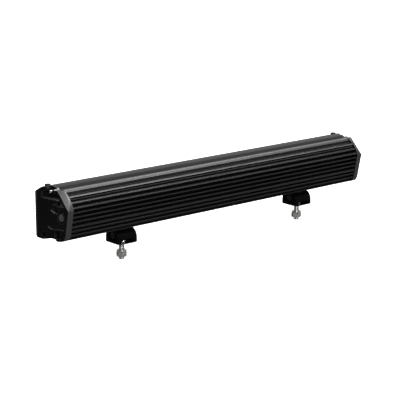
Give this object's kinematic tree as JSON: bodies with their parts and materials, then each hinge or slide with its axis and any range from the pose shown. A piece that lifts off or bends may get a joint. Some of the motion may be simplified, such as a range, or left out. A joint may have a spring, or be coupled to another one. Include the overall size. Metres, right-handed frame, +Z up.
{
  "type": "led light bar",
  "caption": "Straight finned vehicle light bar with end caps, a long lens side and two sliding, tilting feet on hanging bolts.",
  "frame": {"origin": "on the plane the feet stand on, midway between the two mounting bolts", "axes": "+X along the bar to its left end, -Y the way the light shines, +Z up away from the mounting plane"},
  "size_m": [0.562, 0.0761, 0.1186],
  "materials": {
    "black_extrusion": "satin black powder coat on extruded aluminium",
    "clear_lens": "clear polycarbonate",
    "seal_rubber": "matt silicone rubber",
    "black_screw": "black oxide steel",
    "reflector_chrome": "vacuum-metallised plastic",
    "pad_rubber": "soft thermal pad",
    "board_white": "white solder mask on an aluminium board",
    "led_yellow": "phosphor-coated chip with a clear dome",
    "board_green": "green solder mask on fibreglass board",
    "brass_insert": "plain turned brass",
    "part_plastic": "moulded component bodies",
    "plug_plastic": "moulded nylon",
    "cap_satin": "satin dark paint on a casting",
    "zinc_steel": "bright zinc plated steel",
    "shoe_steel": "plain machined steel",
    "foot_black": "fine-textured black powder coat on a casting"
  },
  "bodies": {
    "bar": {"bezel_screws": "black_screw", "cable_gland": "plug_plastic", "driver_board": "board_green", "driver_parts": "part_plastic", "driver_standoffs": "brass_insert", "end_cap_left": "cap_satin", "end_cap_right": "cap_satin", "end_cap_screws_left": "black_screw", "end_cap_screws_right": "black_screw", "end_gasket_left": "seal_rubber", "end_gasket_right": "seal_rubber", "front_bezel": "black_extrusion", "front_lens": "clear_lens", "gland_seal": "seal_rubber", "housing": "black_extrusion", "led_board": "board_white", "led_chips": "led_yellow", "lens_gasket": "seal_rubber", "notch_screws": "zinc_steel", "reflector": "reflector_chrome", "thermal_pad": "pad_rubber", "top_screws": "black_screw", "vent_plug": "plug_plastic"},
    "left_carriage": {"rail_slider_left": "shoe_steel", "rail_lock_screws_left": "black_screw"},
    "left_foot": {"foot_left": "foot_black", "foot_bolt_left": "zinc_steel", "spring_washer_left": "zinc_steel", "foot_nut_left": "zinc_steel", "tilt_bolt_left": "black_screw", "tilt_nut_left": "black_screw"},
    "right_carriage": {"rail_slider_right": "shoe_steel", "rail_lock_screws_right": "black_screw"},
    "right_foot": {"foot_right": "foot_black", "foot_bolt_right": "zinc_steel", "spring_washer_right": "zinc_steel", "foot_nut_right": "zinc_steel", "tilt_bolt_right": "black_screw", "tilt_nut_right": "black_screw"}
  },
  "joints": [
    {"name": "left_foot_slide", "type": "slide", "parent": "bar", "child": "left_carriage", "axis": [1, 0, 0], "range_m": [-0.13, 0.07]},
    {"name": "right_foot_slide", "type": "slide", "parent": "bar", "child": "right_carriage", "axis": [-1, 0, 0], "range_m": [-0.13, 0.07]},
    {"name": "left_foot_tilt", "type": "hinge", "parent": "left_carriage", "child": "left_foot", "pos_m": [0.17, 0, 0.012], "axis": [1, 0, 0], "range_deg": [-15, 15]},
    {"name": "right_foot_tilt", "type": "hinge", "parent": "right_carriage", "child": "right_foot", "pos_m": [-0.17, 0, 0.012], "axis": [1, 0, 0], "range_deg": [-15, 15]}
  ],
  "couplings": [
    {"joint": "right_foot_tilt", "follows": "left_foot_tilt", "ratio": 1}
  ]
}
